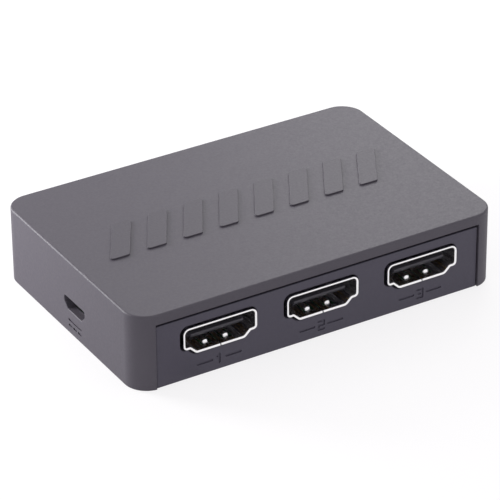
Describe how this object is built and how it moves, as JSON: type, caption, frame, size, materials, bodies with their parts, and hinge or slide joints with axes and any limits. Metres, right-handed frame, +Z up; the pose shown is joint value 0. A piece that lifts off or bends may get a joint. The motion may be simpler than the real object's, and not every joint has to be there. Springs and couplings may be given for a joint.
{
  "type": "video switch box",
  "caption": "Flat matte-black box with rounded corners that routes one of several video inputs to a single output, with a power inlet in its end and a select button behind.",
  "frame": {"origin": "middle of the underside, on the surface that it rests on", "axes": "+X along the input side, with the power inlet at -X; -Y out of the inputs, +Y out of the output; +Z up"},
  "size_m": [0.075, 0.05, 0.0153],
  "materials": {
    "cover_abs": "matte black ABS with a fine moulded texture",
    "base_abs": "matte black ABS with a fine moulded texture",
    "button_abs": "satin black moulded ABS",
    "screw_steel": "black-nickel plated steel",
    "board_laminate": "glass-fibre laminate under solder mask",
    "socket_steel": "bright nickel-plated sheet steel",
    "socket_polymer": "black glass-filled moulded polymer",
    "contact_plating": "gold-flashed phosphor bronze",
    "light_epoxy": "diffused clear cast epoxy",
    "moulded_polymer": "black moulded polymer",
    "thin_steel": "tinned or nickel-plated sheet steel",
    "capacitor_aluminium": "satin drawn aluminium",
    "chip_epoxy": "black moulded epoxy",
    "capacitor_ceramic": "fired brown ceramic",
    "resistor_glaze": "black glazed film",
    "tinned_metal": "matte tinned metal"
  },
  "bodies": {
    "case": {"base": "base_abs", "bulk_capacitor_base": "moulded_polymer", "bulk_capacitor_can": "capacitor_aluminium", "case_screws": "screw_steel", "ceramic_capacitor_ends": "tinned_metal", "ceramic_capacitors": "capacitor_ceramic", "chip_resistor_ends": "tinned_metal", "chip_resistors": "resistor_glaze", "circuit_board": "board_laminate", "clock_crystal": "thin_steel", "clock_crystal_base": "thin_steel", "hot_plug_transistor_pins": "tinned_metal", "hot_plug_transistors": "chip_epoxy", "input_socket_1_contacts": "contact_plating", "input_socket_1_insulator": "socket_polymer", "input_socket_1_shell": "socket_steel", "input_socket_2_contacts": "contact_plating", "input_socket_2_insulator": "socket_polymer", "input_socket_2_shell": "socket_steel", "input_socket_3_contacts": "contact_plating", "input_socket_3_insulator": "socket_polymer", "input_socket_3_shell": "socket_steel", "light_leads": "tinned_metal", "memory_chip_pins": "tinned_metal", "memory_chips": "chip_epoxy", "output_socket_contacts": "contact_plating", "output_socket_insulator": "socket_polymer", "output_socket_shell": "socket_steel", "power_socket_contacts": "contact_plating", "power_socket_insulator": "socket_polymer", "power_socket_shell": "socket_steel", "status_light_1": "light_epoxy", "status_light_2": "light_epoxy", "status_light_3": "light_epoxy", "surge_arrays": "chip_epoxy", "switch_chip": "chip_epoxy", "switch_chip_pins": "tinned_metal", "switch_dome": "thin_steel", "switch_frame": "thin_steel", "switch_housing": "moulded_polymer", "switch_terminals": "tinned_metal", "top_cover": "cover_abs", "voltage_regulator": "chip_epoxy", "voltage_regulator_pins": "tinned_metal"},
    "button": {"select_button": "button_abs", "switch_plunger": "moulded_polymer"}
  },
  "joints": [
    {"name": "select_press", "type": "slide", "parent": "case", "child": "button", "axis": [0, -1, 0], "range_m": [0, 0.0003], "stiffness_N_per_m": 3000, "springref_m": -0.0001, "deforming": ["switch_dome"]}
  ]
}
